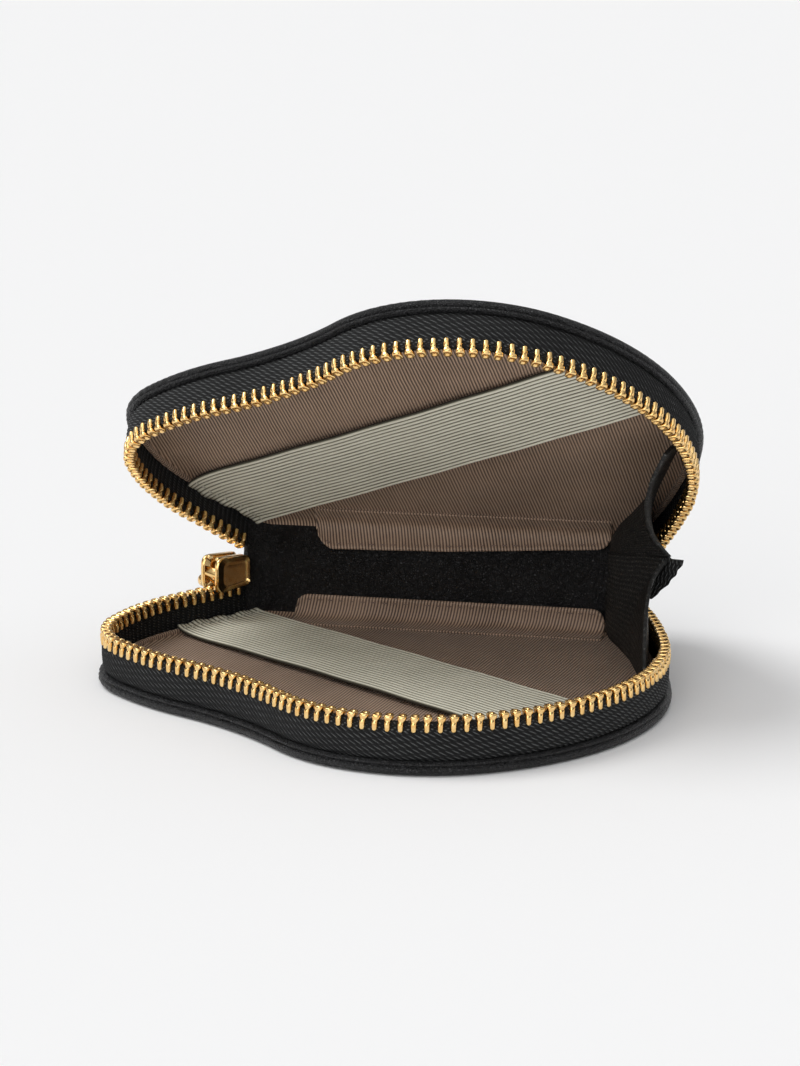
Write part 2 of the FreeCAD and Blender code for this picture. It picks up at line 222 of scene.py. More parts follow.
def rounded(w0, w1, h0, h1, r, k=5):
    """Rounded rectangle as (outward, height), counter-clockwise seen with outward to the right."""
    pts = []
    for cx, cy, a0 in ((w1 - r, h0 + r, -90), (w1 - r, h1 - r, 0), (w0 + r, h1 - r, 90), (w0 + r, h0 + r, 180)):
        for i in range(k + 1):
            a = math.radians(a0 + 90.0 * i / k)
            pts.append((cx + r * math.cos(a), cy + r * math.sin(a)))
    return pts


# ------------------------------------------------------------------ materials
def material(name):
    m = bpy.data.materials.new(name)
    m.use_nodes = True
    nt = m.node_tree
    return m, nt, nt.nodes["Principled BSDF"]


def node(nt, kind, **kw):
    n = nt.nodes.new(kind)
    for k, v in kw.items():
        if k in n.inputs.keys() if hasattr(n.inputs, "keys") else False:
            n.inputs[k].default_value = v
        else:
            setattr(n, k, v)
    return n


def mth(nt, op, a, b=None, c=None, clamp=False):
    n = nt.nodes.new("ShaderNodeMath")
    n.operation = op
    n.use_clamp = clamp
    for i, v in enumerate((a, b, c)):
        if v is None:
            continue
        if isinstance(v, (int, float)):
            n.inputs[i].default_value = v
        else:
            nt.links.new(v, n.inputs[i])
    return n.outputs[0]


def ramp(nt, fac, stops):
    n = nt.nodes.new("ShaderNodeValToRGB")
    while len(n.color_ramp.elements) < len(stops):
        n.color_ramp.elements.new(0.5)
    for e, (p, c) in zip(n.color_ramp.elements, stops):
        e.position, e.color = p, (*c, 1.0)
    nt.links.new(fac, n.inputs[0])
    return n.outputs[0]


def bump(nt, height, distance, strength, normal=None):
    b = nt.nodes.new("ShaderNodeBump")
    b.inputs["Strength"].default_value = strength
    b.inputs["Distance"].default_value = distance
    nt.links.new(height, b.inputs["Height"])
    if normal is not None:
        nt.links.new(normal, b.inputs["Normal"])
    return b.outputs[0]


def coords(nt, kind="Object"):
    return nt.nodes.new("ShaderNodeTexCoord").outputs[kind]


def tex_noise(nt, vec, scale, detail=3.0, rough=0.55):
    n = nt.nodes.new("ShaderNodeTexNoise")
    n.inputs["Scale"].default_value = scale
    n.inputs["Detail"].default_value = detail
    n.inputs["Roughness"].default_value = rough
    nt.links.new(vec, n.inputs["Vector"])
    return n.outputs["Fac"]


def tex_voronoi(nt, vec, scale, feature="F1", out="Distance", rand=1.0):
    n = nt.nodes.new("ShaderNodeTexVoronoi")
    n.feature = feature
    n.inputs["Scale"].default_value = scale
    n.inputs["Randomness"].default_value = rand
    nt.links.new(vec, n.inputs["Vector"])
    return n.outputs[out]


def warped(nt, vec, scale, amount):
    """vec moved by a noise, so that cells look irregular."""
    n = nt.nodes.new("ShaderNodeTexNoise")
    n.inputs["Scale"].default_value = scale
    n.inputs["Detail"].default_value = 1.0
    nt.links.new(vec, n.inputs["Vector"])
    sub = nt.nodes.new("ShaderNodeVectorMath")
    sub.operation = "MULTIPLY_ADD"
    nt.links.new(n.outputs["Color"], sub.inputs[0])
    sub.inputs[1].default_value = (amount,) * 3
    nt.links.new(vec, sub.inputs[2])
    return sub.outputs[0]


def uv_mm(nt):
    sep = nt.nodes.new("ShaderNodeSeparateXYZ")
    nt.links.new(coords(nt, "UV"), sep.inputs[0])
    return sep.outputs[0], sep.outputs[1]


def leather(name, dark, light, rough=0.42, cell=620.0, grain=1.0):
    m, nt, p = material(name)
    v = coords(nt)
    wv = warped(nt, v, 1500.0, 0.00045)
    edge = tex_voronoi(nt, wv, cell * 4.2, "DISTANCE_TO_EDGE")
    cells = mth(nt, "MINIMUM", mth(nt, "MULTIPLY", edge, 4.0), 1.0)
    fine = tex_noise(nt, v, 3800.0, 3.0)
    wide = tex_noise(nt, v, 90.0, 3.0)
    h = mth(nt, "ADD", mth(nt, "MULTIPLY", cells, 0.8), mth(nt, "MULTIPLY", fine, 0.35))
    peb = tex_voronoi(nt, warped(nt, v, 500.0, 0.0008), cell * 1.6, "DISTANCE_TO_EDGE")
    peb = mth(nt, "MINIMUM", mth(nt, "MULTIPLY", peb, 3.2), 1.0)
    n1 = bump(nt, peb, 0.00026, 0.75 * grain, bump(nt, wide, 0.0009, 0.25))
    n2 = bump(nt, h, 0.00028, 1.0 * grain, n1)
    nt.links.new(n2, p.inputs["Normal"])
    # Base colour: the grain cell tops are painted lighter (painted highlight) and the creases between cells darker
    # (painted shade); the wide noise is the leather's own uneven tone.
    mixf = mth(nt, "ADD", mth(nt, "MULTIPLY", mth(nt, "MULTIPLY", cells, peb), 0.6), mth(nt, "MULTIPLY", wide, 0.5))
    nt.links.new(ramp(nt, mixf, [(0.15, dark), (0.95, light)]), p.inputs["Base Color"])
    r = mth(nt, "ADD", mth(nt, "MULTIPLY", wide, 0.22), rough - 0.12)
    nt.links.new(mth(nt, "SUBTRACT", r, mth(nt, "MULTIPLY", cells, 0.05)), p.inputs["Roughness"])
    p.inputs["Specular IOR Level"].default_value = 0.42
    return m


# the light tone is the painted highlight on the grain cell tops; the dark tone in the creases is painted shade on the
# black leather
M_LEATHER = leather("black_leather_grain", (0.0035, 0.0035, 0.0038), (0.030, 0.030, 0.032), rough=0.42, cell=560.0)


def gusset_leather():
    m, nt, p = material("ribbed_gusset_leather")
    u, w = uv_mm(nt)
    v = coords(nt)
    wob = tex_noise(nt, v, 260.0, 2.0)
    fine = tex_noise(nt, v, 2600.0, 4.0, 0.7)
    rib = mth(nt, "ADD", mth(nt, "MULTIPLY", mth(nt, "SINE", mth(nt, "ADD", mth(nt, "MULTIPLY", w, 2 * math.pi / 0.78), mth(nt, "MULTIPLY", wob, 5.0))), 0.5), 0.5)
    cut = tex_voronoi(nt, warped(nt, v, 1500.0, 0.0005), 1900.0, "DISTANCE_TO_EDGE")
    cells = mth(nt, "MINIMUM", mth(nt, "MULTIPLY", cut, 4.0), 1.0)
    h = mth(nt, "ADD", mth(nt, "MULTIPLY", rib, 0.55), mth(nt, "ADD", mth(nt, "MULTIPLY", cells, 0.5), mth(nt, "MULTIPLY", fine, 0.4)))
    nt.links.new(bump(nt, h, 0.00026, 0.95), p.inputs["Normal"])
    # Base colour lighter on the rib crests and cell tops (painted highlight) and darker between them (painted shade);
    # the fine noise is the leather's own uneven tone.
    f = mth(nt, "ADD", mth(nt, "MULTIPLY", mth(nt, "MULTIPLY", rib, cells), 0.5), mth(nt, "MULTIPLY", fine, 0.55))
    nt.links.new(ramp(nt, f, [(0.2, (0.0025, 0.0025, 0.0024)), (0.5, (0.014, 0.0135, 0.0125)), (0.85, (0.060, 0.056, 0.049))]), p.inputs["Base Color"])
    p.inputs["Roughness"].default_value = 0.56
    p.inputs["Specular IOR Level"].default_value = 0.32
    return m


M_GUSSET = gusset_leather()


def cut_edge_with_painted_highlight():
    m, nt, p = material("cut_edge_painted_highlight")
    v = coords(nt)
    a = tex_noise(nt, v, 1400.0, 4.0, 0.7)
    # Pale grey flecks: partly the raw cut edge's own colour, partly a painted highlight along the rim.
    nt.links.new(ramp(nt, a, [(0.40, (0.004, 0.004, 0.004)), (0.56, (0.020, 0.020, 0.019)), (0.74, (0.17, 0.17, 0.16))]), p.inputs["Base Color"])
    nt.links.new(bump(nt, a, 0.0002, 0.8), p.inputs["Normal"])
    p.inputs["Roughness"].default_value = 0.8
    return m


M_CUT_EDGE_HIGHLIGHT = cut_edge_with_painted_highlight()


def tape_material():
    m, nt, p = material("black_woven_tape")
    u, w = uv_mm(nt)
    # lean of the diagonal ridges, in three bands across the tape
    lo = mth(nt, "MINIMUM", w, 7.3)
    mid = mth(nt, "MINIMUM", mth(nt, "MAXIMUM", mth(nt, "SUBTRACT", w, 7.3), 0.0), 1.4)
    lean = mth(nt, "SUBTRACT", mth(nt, "MULTIPLY", lo, 1.35), mth(nt, "MULTIPLY", mid, 1.35))
    ph = mth(nt, "MULTIPLY", mth(nt, "ADD", u, lean), 2 * math.pi / 1.2)
    v = coords(nt)
    wob = tex_noise(nt, v, 420.0, 2.0)
    ridge = mth(nt, "ADD", mth(nt, "MULTIPLY", mth(nt, "SINE", mth(nt, "ADD", ph, mth(nt, "MULTIPLY", wob, 2.2))), 0.5), 0.5)
    ridge = mth(nt, "POWER", ridge, 1.2)
    # yarn turns along each ridge
    turn = mth(nt, "ADD", mth(nt, "MULTIPLY", mth(nt, "SINE", mth(nt, "MULTIPLY", mth(nt, "ADD", w, mth(nt, "MULTIPLY", u, 0.35)), 2 * math.pi / 0.50)), 0.5), 0.5)
    fuzz = tex_noise(nt, v, 5600.0, 3.0, 0.7)
    cord = mth(nt, "GREATER_THAN", w, 7.9)
    weave = mth(nt, "MULTIPLY", ridge, mth(nt, "ADD", mth(nt, "MULTIPLY", turn, 0.85), 0.15))
    h = mth(nt, "ADD", mth(nt, "MULTIPLY", weave, 1.1), mth(nt, "MULTIPLY", fuzz, 0.45))
    nt.links.new(bump(nt, h, 0.00028, 1.0), p.inputs["Normal"])
    wide = tex_noise(nt, v, 140.0, 2.0)
    # Base colour lighter on the ridge crests and yarn turns (painted highlight) and darker in the grooves (painted
    # shade); fuzz and wide noise are the tape's own uneven tone, and the cord band is given a darker tone.
    f = mth(nt, "ADD", mth(nt, "MULTIPLY", weave, 0.62), mth(nt, "ADD", mth(nt, "MULTIPLY", fuzz, 0.26), mth(nt, "MULTIPLY", wide, 0.12)))
    f = mth(nt, "SUBTRACT", f, mth(nt, "MULTIPLY", cord, 0.18))
    nt.links.new(ramp(nt, f, [(0.16, (0.0010, 0.0011, 0.0012)), (0.42, (0.010, 0.0105, 0.0108)), (0.72, (0.125, 0.130, 0.130))]), p.inputs["Base Color"])
    nt.links.new(mth(nt, "ADD", mth(nt, "MULTIPLY", fuzz, 0.2), 0.60), p.inputs["Roughness"])
    p.inputs["Specular IOR Level"].default_value = 0.28
    p.inputs["Sheen Weight"].default_value = 0.03
    p.inputs["Sheen Roughness"].default_value = 0.5
    return m


M_TAPE = tape_material()


def lining_material(name, angle, tint=1.0):
    m, nt, p = material(name)
    u, w = uv_mm(nt)
    ca, sa = math.cos(angle), math.sin(angle)
    d = mth(nt, "ADD", mth(nt, "MULTIPLY", u, ca), mth(nt, "MULTIPLY", w, sa))
    v = coords(nt)
    wob = tex_noise(nt, v, 160.0, 2.0)
    d = mth(nt, "ADD", d, mth(nt, "MULTIPLY", wob, 0.35))
    rib = mth(nt, "ADD", mth(nt, "MULTIPLY", mth(nt, "SINE", mth(nt, "MULTIPLY", d, 2 * math.pi / 0.56)), 0.5), 0.5)
    e = mth(nt, "SUBTRACT", mth(nt, "MULTIPLY", w, ca), mth(nt, "MULTIPLY", u, sa))
    thread = mth(nt, "ADD", mth(nt, "MULTIPLY", mth(nt, "SINE", mth(nt, "MULTIPLY", e, 2 * math.pi / 0.26)), 0.5), 0.5)
    fuzz = tex_noise(nt, v, 4200.0, 3.0, 0.6)
    wide = tex_noise(nt, v, 70.0, 3.0)
    h = mth(nt, "ADD", mth(nt, "MULTIPLY", rib, 0.75), mth(nt, "ADD", mth(nt, "MULTIPLY", thread, 0.15), mth(nt, "MULTIPLY", fuzz, 0.2)))
    n0 = bump(nt, wide, 0.0016, 0.35)
    nt.links.new(bump(nt, h, 0.00013, 0.8, n0), p.inputs["Normal"])
    # Base colour light on the twill ribs (painted highlight) and dark between them (painted shade); the wide noise is
    # the cloth's own uneven tone.
    f = mth(nt, "ADD", mth(nt, "MULTIPLY", rib, 0.55), mth(nt, "ADD", mth(nt, "MULTIPLY", fuzz, 0.2), mth(nt, "MULTIPLY", wide, 0.25)))
    lo, hi = (0.050 * tint, 0.029 * tint, 0.019 * tint), (0.50 * tint, 0.345 * tint, 0.245 * tint)
    nt.links.new(ramp(nt, f, [(0.22, lo), (0.80, hi)]), p.inputs["Base Color"])
    p.inputs["Roughness"].default_value = 0.55
    p.inputs["Sheen Weight"].default_value = 0.15
    p.inputs["Sheen Roughness"].default_value = 0.35
    return m


M_LINING = lining_material("taupe_twill_lining", math.radians(-9))


def elastic_material():
    m, nt, p = material("cream_ribbed_elastic")
    u, w = uv_mm(nt)  # u along the band, w across it, rib pitch 1 mm
    rib = mth(nt, "ABSOLUTE", mth(nt, "SINE", mth(nt, "MULTIPLY", w, math.pi / 1.0)))
    cross = mth(nt, "ADD", mth(nt, "MULTIPLY", mth(nt, "SINE", mth(nt, "MULTIPLY", u, 2 * math.pi / 0.34)), 0.5), 0.5)
    v = coords(nt)
    fuzz = tex_noise(nt, v, 3600.0, 3.0, 0.6)
    wide = tex_noise(nt, v, 120.0, 2.0)
    h = mth(nt, "ADD", mth(nt, "MULTIPLY", cross, 0.5), mth(nt, "MULTIPLY", fuzz, 0.6))
    nt.links.new(bump(nt, h, 0.00010, 0.7), p.inputs["Normal"])
    # Base colour dark in the grooves between the ribs (painted shade) and cream on the rib tops; the fuzz and wide
    # noise are the band's own uneven tone.
    f = mth(nt, "ADD", mth(nt, "MULTIPLY", mth(nt, "POWER", rib, 1.0), 0.74), mth(nt, "ADD", mth(nt, "MULTIPLY", fuzz, 0.12), mth(nt, "MULTIPLY", wide, 0.16)))
    nt.links.new(ramp(nt, f, [(0.22, (0.045, 0.040, 0.026)), (0.45, (0.26, 0.245, 0.18)), (0.66, (0.66, 0.64, 0.52)), (0.95, (0.80, 0.78, 0.67))]), p.inputs["Base Color"])
    p.inputs["Roughness"].default_value = 0.8
    return m


M_ELASTIC = elastic_material()


def gold(name, rough=0.2, scratch=0.4):
    m, nt, p = material(name)
    v = coords(nt)
    a = tex_noise(nt, v, 900.0, 3.0)
    b = tex_noise(nt, v, 6000.0, 2.0)
    nt.links.new(ramp(nt, a, [(0.25, (0.86, 0.50, 0.16)), (0.7, (1.0, 0.72, 0.33))]), p.inputs["Base Color"])
    nt.links.new(mth(nt, "ADD", mth(nt, "MULTIPLY", a, 0.14), rough - 0.06), p.inputs["Roughness"])
    nt.links.new(bump(nt, b, 0.00003, scratch), p.inputs["Normal"])
    p.inputs["Metallic"].default_value = 1.0
    return m


M_GOLD = gold("polished_gold_teeth", 0.11)
M_GOLD_SMOOTH = gold("polished_gold_slider", 0.16, 0.2)


def thread_material(name, col):
    m, nt, p = material(name)
    v = coords(nt)
    a = tex_noise(nt, v, 5000.0, 2.0)
    nt.links.new(ramp(nt, a, [(0.3, tuple(c * 0.6 for c in col)), (0.7, col)]), p.inputs["Base Color"])
    nt.links.new(bump(nt, a, 0.00008, 0.6), p.inputs["Normal"])
    p.inputs["Roughness"].default_value = 0.6
    return m


M_THREAD_TAUPE = thread_material("taupe_thread", (0.22, 0.15, 0.12))
M_THREAD_BLACK = thread_material("black_thread", (0.02, 0.02, 0.021))
M_THREAD_CREAM = thread_material("cream_thread", (0.62, 0.60, 0.50))


def board_material():
    m, nt, p = material("grey_stiffener_board")
    v = coords(nt)
    a = tex_noise(nt, v, 900.0, 4.0)
    nt.links.new(ramp(nt, a, [(0.3, (0.30, 0.28, 0.25)), (0.7, (0.48, 0.46, 0.42))]), p.inputs["Base Color"])
    p.inputs["Roughness"].default_value = 0.9
    return m


M_BOARD = board_material()
for name in ("lower_stiffener_board", "upper_stiffener_board"):
    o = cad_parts[name]
    o.data.materials.clear()
    o.data.materials.append(M_BOARD)

# ------------------------------------------------------------------ shells
BODY = {False: "lower_shell", True: "upper_shell"}
SIDE = {False: "lower", True: "upper"}


def outer_face(lid):
    """Padded leather face: crowned towards its rim, one closed skin that dives under the edge bead."""
    n = 420
    ss = np.linspace(0, LOOP, n, endpoint=False)
    rim = np.array([loop_at(s, -0.95)[:2] for s in ss])
    c = np.array([0.0, 5.0])
    fr = [1.0, 0.985, 0.965, 0.94, 0.90, 0.84, 0.76, 0.66, 0.54, 0.42, 0.30, 0.18, 0.08]
    dist = np.linalg.norm(rim - c, axis=1)
    P, UV = [], []
    for k, f in enumerate(fr):
        q = c + (rim - c) * f
        d = (1 - f) * dist  # about the distance from the rim
        if lid:
            w = 0.95 - 1.55 * (1 - np.exp(-d / 3.2))
            w = w + 0.10 * smooth_noise(ss * (1 - 0.5 * (1 - f)), 11) * min(1.0, (1 - f) * 6) * f
        else:
            w = 0.85 * np.exp(-d / 1.6) + 0.0
        P.append(np.column_stack([q, w]))
        UV.append(q)
    P = np.concatenate(P)
    F = grid_faces(len(fr), n, False, True)
    centre = len(P)
    P = np.vstack([P, [[c[0], c[1], (-0.60 if lid else 0.0)]]])
    base = (len(fr) - 1) * n
    F += [(base + i, centre, base + (i + 1) % n) for i in range(n)]
    # underside, against the board
    under = np.column_stack([rim, np.full(n, 1.25)])
    i0 = len(P)
    P = np.vstack([P, under, [[c[0], c[1], 1.25]]])
    F += [(i, (i + 1) % n, i0 + (i + 1) % n, i0 + i) for i in range(n)]
    F += [(i0 + i, i0 + (i + 1) % n, i0 + n) for i in range(n)]
    uv = P[:, :2].copy()
    ob = add(SIDE[lid] + "_leather_face", P, F, M_LEATHER, lid, uv, body=BODY[lid], flip=True)
    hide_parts(SIDE[lid] + "_outer_panel")
    return ob


def edge_bead(lid):
    """Rolled leather edge with a sewn lip; small gathers where it turns."""
    n = 900
    ss = np.linspace(0, LOOP, n, endpoint=False)
    prof = [(-1.9, 0.30), (-1.5, 0.16), (-0.9, 0.08), (-0.3, 0.09), (0.18, 0.20), (0.58, 0.42), (0.84, 0.74), (0.93, 1.06), (0.90, 1.34), (0.78, 1.54),
            (0.68, 1.64), (0.66, 1.72), (0.74, 1.80), (0.80, 1.96), (0.76, 2.14), (0.60, 2.29), (0.36, 2.37), (0.02, 2.40), (-0.4, 2.30), (-0.9, 2.18), (-1.9, 2.1)]
    k = 0.10 * smooth_noise(ss, 3 if lid else 5, 9)
    tick = np.sin(2 * math.pi * ss / 1.9 + 5.0 * smooth_noise(ss, 21, 12)) ** 5
    gather = 0.075 * tick * np.clip(smooth_noise(ss, 8, 9) + 0.55, 0, 1)
    deep = 0.12 + 0.12 * np.clip(smooth_noise(ss, 14, 5), -1, 1)

    def vary(s, j):
        o, h = prof[j]
        side = max(0.0, min(1.0, (o + 0.5) / 1.2))
        groove = math.exp(-((h - 1.68) / 0.13) ** 2) if o > 0 else 0.0
        return (k * 0.7 + gather) * side - deep * groove, 0.06 * k * (1 if h > 1.2 else 0.0)

    P, F, uv = swept(ss, loop_at, prof, True, vary)
    ob = add(SIDE[lid] + "_rolled_edge", P, F, M_LEATHER, lid, uv, body=BODY[lid], flip=False)
    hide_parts(SIDE[lid] + "_edge_piping")
    return ob


TAPE_LO, TAPE_HI = 2.15, 8.75


def tape_wall(lid):
    """Woven zip tape: herringbone ridges in the surface, a round cord at its upper edge under the teeth."""
    step = 0.2
    ss = np.arange(RUN_A - 0.4, RUN_B + 0.4, step)
    hs = np.linspace(TAPE_LO, 8.0, 27)
    xy, t, n = path_frames(ss, run_at)
    bow = 0.42 * np.sin(np.pi * (hs - TAPE_LO) / (8.6 - TAPE_LO)) ** 0.8
    S, W = np.meshgrid(ss, hs, indexing="ij")
    # herringbone: two bands of ridges that lean opposite ways
    sg = -1.0 if lid else 1.0  # the two tapes are mirror images of each other
    lean = 1.35 * np.minimum(W, 7.3) - 1.35 * np.clip(W - 7.3, 0, 1.4)
    ridge = np.sin(2 * math.pi * (sg * S + lean) / 1.2)
    fade = np.clip((8.1 - W) / 0.5, 0, 1) * np.clip((W - TAPE_LO) / 0.5, 0, 1)
    wav = 0.10 * smooth_noise(S, 31 + lid, 9, 223.0)
    foot = -0.50 * np.exp(-((W - TAPE_LO) / 0.55) ** 2)
    off = -0.12 + foot + bow[None, :] * (1 + 0.5 * wav) + 0.12 * ridge * fade + 0.4 * wav * np.sin(np.pi * (W - TAPE_LO) / 6.2)
    outer = np.zeros((len(ss), len(hs), 3))
    outer[:, :, 0] = xy[:, 0][:, None] + n[:, 0][:, None] * off
    outer[:, :, 1] = xy[:, 1][:, None] + n[:, 1][:, None] * off
    outer[:, :, 2] = W
    # cord at the top edge
    cord = []
    for a in np.linspace(-20, 200, 9):
        cord.append((-0.5 + 0.50 * math.cos(math.radians(a)), 8.42 + 0.50 * math.sin(math.radians(a))))
    inner_h = np.linspace(8.0, TAPE_LO, 9)
    inner = [(-0.72 + 0.25 * math.sin(math.pi * (h - TAPE_LO) / 6.4), h) for h in inner_h]
    rest = np.array(cord + inner)
    tail = np.zeros((len(ss), len(rest), 3))
    for j, (o, h) in enumerate(rest):
        q = xy + n * (o + 0.3 * 0.10 * 0)
        tail[:, j, :2] = q
        tail[:, j, 2] = h
    P = np.concatenate([outer, tail], axis=1)
    m = P.shape[1]
    girth = np.concatenate([hs, 8.6 + 0.2 * np.arange(len(cord)), 10.6 + (8.0 - inner_h)])
    uv = np.stack([np.repeat(sg * ss, m), np.tile(girth, len(ss))], 1)
    F = grid_faces(len(ss), m, False, True)
    F += [tuple(range(m))[::-1], tuple(range((len(ss) - 1) * m, len(ss) * m))]
    ob = add(SIDE[lid] + "_woven_tape", P.reshape(-1, 3), F, M_TAPE, lid, uv, body=BODY[lid])
    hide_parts(SIDE[lid] + "_zip_tape")
    return ob


def tooth_template():
    lev = [  # height, half width along the zip, half thickness, shift along the zip
        (0.00, 0.36, 0.97, 0.0), (0.06, 0.47, 1.07, 0.0), (0.26, 0.50, 1.10, 0.0), (1.15, 0.50, 1.10, 0.0), (1.42, 0.50, 1.06, 0.02),
        (1.56, 0.47, 0.95, 0.05), (1.70, 0.57, 0.90, 0.10), (1.88, 0.72, 0.95, 0.15), (2.22, 0.76, 0.99, 0.17), (2.44, 0.70, 0.93, 0.16),
        (2.55, 0.54, 0.78, 0.15), (2.53, 0.40, 0.56, 0.14), (2.36, 0.30, 0.42, 0.14), (2.30, 0.16, 0.22, 0.14)]
    k = 16
    P = []
    for h, a, b, c in lev:
        for i in range(k):
            th = 2 * math.pi * (i + 0.5) / k
            ct, st = math.cos(th), math.sin(th)
            e = 0.62
            P.append((c + a * math.copysign(abs(ct) ** e, ct), b * math.copysign(abs(st) ** e, st), h))
    F = grid_faces(len(lev), k, False, True)
    F += [tuple(range(k))[::-1], tuple(range((len(lev) - 1) * k, len(lev) * k))]
    # (along, across, height): with along x across = up the winding is outward
    return np.array(P), F


TOOTH_P, TOOTH_F = tooth_template()
PITCH, FIRST = 2.1, 6.0


def teeth_row(lid):
    P, F = [], []
    k = 0
    first = FIRST - 2 * PITCH if lid else FIRST - 2 * PITCH + 0.0
    while True:
        s = first + k * PITCH + (0.5 * PITCH if lid else 0.0)
        k += 1
        if s > RUN_B - 5.0:
            break
        if s < RUN_A + 1.2:
            continue
        x, y, h = run_at(s)
        jit = rng.normal(0, 1, 3)
        tt = np.array([math.cos(h), math.sin(h), 0.0])
        nn = np.array([math.sin(h), -math.cos(h), 0.0])
        T = TOOTH_P.copy()
        ang = 0.02 * jit[0]
        along = T[:, 0] * math.cos(ang) - T[:, 2] * math.sin(ang)
        up = T[:, 2] + T[:, 0] * math.sin(ang)
        lean = 0.035 * jit[1]
        across = -T[:, 1] + lean * (up - 1.0)
        base = np.array([x, y, 0.0]) + nn * (-0.5)
        W = base + along[:, None] * tt + across[:, None] * nn
        W[:, 2] = 7.30 + up
        i0 = len(P) * len(TOOTH_P)
        P.append(W)
        F += [tuple(i0 + i for i in f) for f in TOOTH_F]
    P = np.concatenate(P)
    ob = add(SIDE[lid] + "_gold_teeth", P, F, M_GOLD, lid, body=BODY[lid])
    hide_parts(SIDE[lid] + "_zip_teeth")
    return ob


def lining_sheet(lid):
    """Twill lining over the floor, turned up a little at its rim, with soft unevenness."""
    n = 420
    ss = np.linspace(0, LOOP, n, endpoint=False)
    rim = np.array([loop_at(s, -0.98)[:2] for s in ss])
    c = np.array([0.0, 5.0])
    fr = [1.0, 0.99, 0.975, 0.95, 0.91, 0.86, 0.80, 0.73, 0.65, 0.56, 0.46, 0.35, 0.24, 0.13]
    dist = np.linalg.norm(rim - c, axis=1)
    P = []
    for f in fr:
        q = c + (rim - c) * f
        d = (1 - f) * dist
        w = 2.55 + 1.0 * np.exp(-d / 0.9)
        amp = min(1.0, (1 - f) * 9)
        w = w + amp * (0.10 * np.sin(q[:, 0] / 7.0 + 1.3) * np.sin(q[:, 1] / 9.0) + 0.06 * np.sin((q[:, 0] + q[:, 1]) / 4.1))
        P.append(np.column_stack([q, w]))
    P = np.concatenate(P + [np.array([[c[0], c[1], 2.55]])])
    F = grid_faces(len(fr), n, False, True)
    base = (len(fr) - 1) * n
    F += [(base + i, len(P) - 1, base + (i + 1) % n) for i in range(n)]
    uv = P[:, :2].copy()
    ob = add(SIDE[lid] + "_twill_lining", P, F, M_LINING, lid, uv, body=BODY[lid])
    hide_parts(SIDE[lid] + "_lining")
    return ob


def lining_hem(lid):
    """The turned and sewn rim of the lining, a soft gathered roll against the tape wall."""
    ss = np.linspace(RUN_A + 1.5, RUN_B - 7.0, 760)
    prof = rounded(-1.85, -0.95, 2.62, 3.62, 0.38, 4)
    a = smooth_noise(ss, 41 + lid, 9)
    rip = 0.12 * np.sin(2 * math.pi * ss / 2.3 + 5 * a) * (0.6 + 0.5 * a)

    def vary(s, j):
        o, h = prof[j]
        return -np.abs(rip) * (1.0 if o < -1.4 else 0.2), rip * (0.8 if h > 3.0 else 0.0)

    P, F, uv = swept(ss, run_at, prof, False, vary)
    ob = add(SIDE[lid] + "_lining_hem", P, F, M_LINING, lid, uv, body=BODY[lid])
    return ob


for lid in (False, True):
    lining_hem(lid)
    outer_face(lid)
    edge_bead(lid)
    tape_wall(lid)
    teeth_row(lid)
    lining_sheet(lid)


# ------------------------------------------------------------------ elastic bands
BAND_A, BAND_B = np.array([-32.0, 27.9]), np.array([29.4, -14.9])


def wall_reach(q, d, off=-1.05):
    """Distance from q along the unit direction d to the wall line of the half."""
    rim = np.array([loop_at(t, off)[:2] for t in np.linspace(0, LOOP, 720)])
    best = 1e9
    e = rim[1:] - rim[:-1]
    r = rim[:-1] - q
    den = d[0] * e[:, 1] - d[1] * e[:, 0]
    den = np.where(abs(den) < 1e-9, 1e-9, den)
    t = (r[:, 0] * e[:, 1] - r[:, 1] * e[:, 0]) / den
    k = (r[:, 0] * d[1] - r[:, 1] * d[0]) / den
    ok = (t > 0) & (k >= 0) & (k <= 1)
    return float(t[ok].min()) if ok.any() else best


def elastic_band(lid):
    """Ribbed band 20 mm wide, stretched over the lining, its ends sewn into the wall seam and a little gathered."""
    d = (BAND_B - BAND_A) / np.linalg.norm(BAND_B - BAND_A)
    nrm = np.array([-d[1], d[0]])
    centre = 0.5 * (BAND_A + BAND_B) - nrm * 0.8
    n, m = 170, 161
    vs = np.linspace(-10, 10, m)
    top = np.zeros((n, m, 3))
    uvs = np.zeros((n, m, 2))
    ends = []
    for j, v in enumerate(vs):
        q0 = centre + nrm * v
        hi, lo = wall_reach(q0, d), wall_reach(q0, -d)
        u = np.linspace(-lo, hi, n)
        dl, dr = u + lo, hi - u
        for i in range(n):
            near, tag = (dl[i], 0.9) if dl[i] < dr[i] else (dr[i], 2.2)
            e = math.exp(-near / 3.2)
            rib = abs(math.sin(math.pi * v / 1.0)) ** 0.6 * min(1.0, 0.15 + near / 4.0)
            f = dl[i] / (lo + hi)
            waist = 1.0 - 0.022 * math.sin(math.pi * min(1.0, max(0.0, f))) - 0.06 * e
            w = 3.25 + 0.25 * rib + 0.45 * max(0.0, math.sin(math.pi * f)) ** 0.7 + 0.85 * math.exp(-near / 1.9)
            w += e * 0.16 * math.sin(v * 1.25 + tag)
            w += 0.05 * math.sin(u[i] * 0.35 + v * 0.2)
            q = centre + d * (u[i] + 0.5 * math.sin(v * 0.35) * e) + nrm * v * waist
            top[i, j] = (q[0], q[1], w)
            uvs[i, j] = (u[i], v)
    low = top.copy()
    low[:, :, 2] -= 0.38
    P, F = solid_grid(top, low)
    uv = uvs.reshape(-1, 2)
    ob = add(SIDE[lid] + "_ribbed_elastic", P, F, M_ELASTIC, lid, np.vstack([uv, uv]), body=BODY[lid], flip=False)
    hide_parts(SIDE[lid] + "_elastic_band")
    for tag, i in (("left", 3), ("right", n - 4)):
        row = [(top[i, j, 0], top[i, j, 1], top[i, j, 2] + 0.06) for j in range(3, m - 3, 4)]
        stitches(SIDE[lid] + "_band_stitches_" + tag, row, (0, 0, 1), M_THREAD_CREAM, BODY[lid], lid, 1.2, 0.7, 0.13)
    return ob


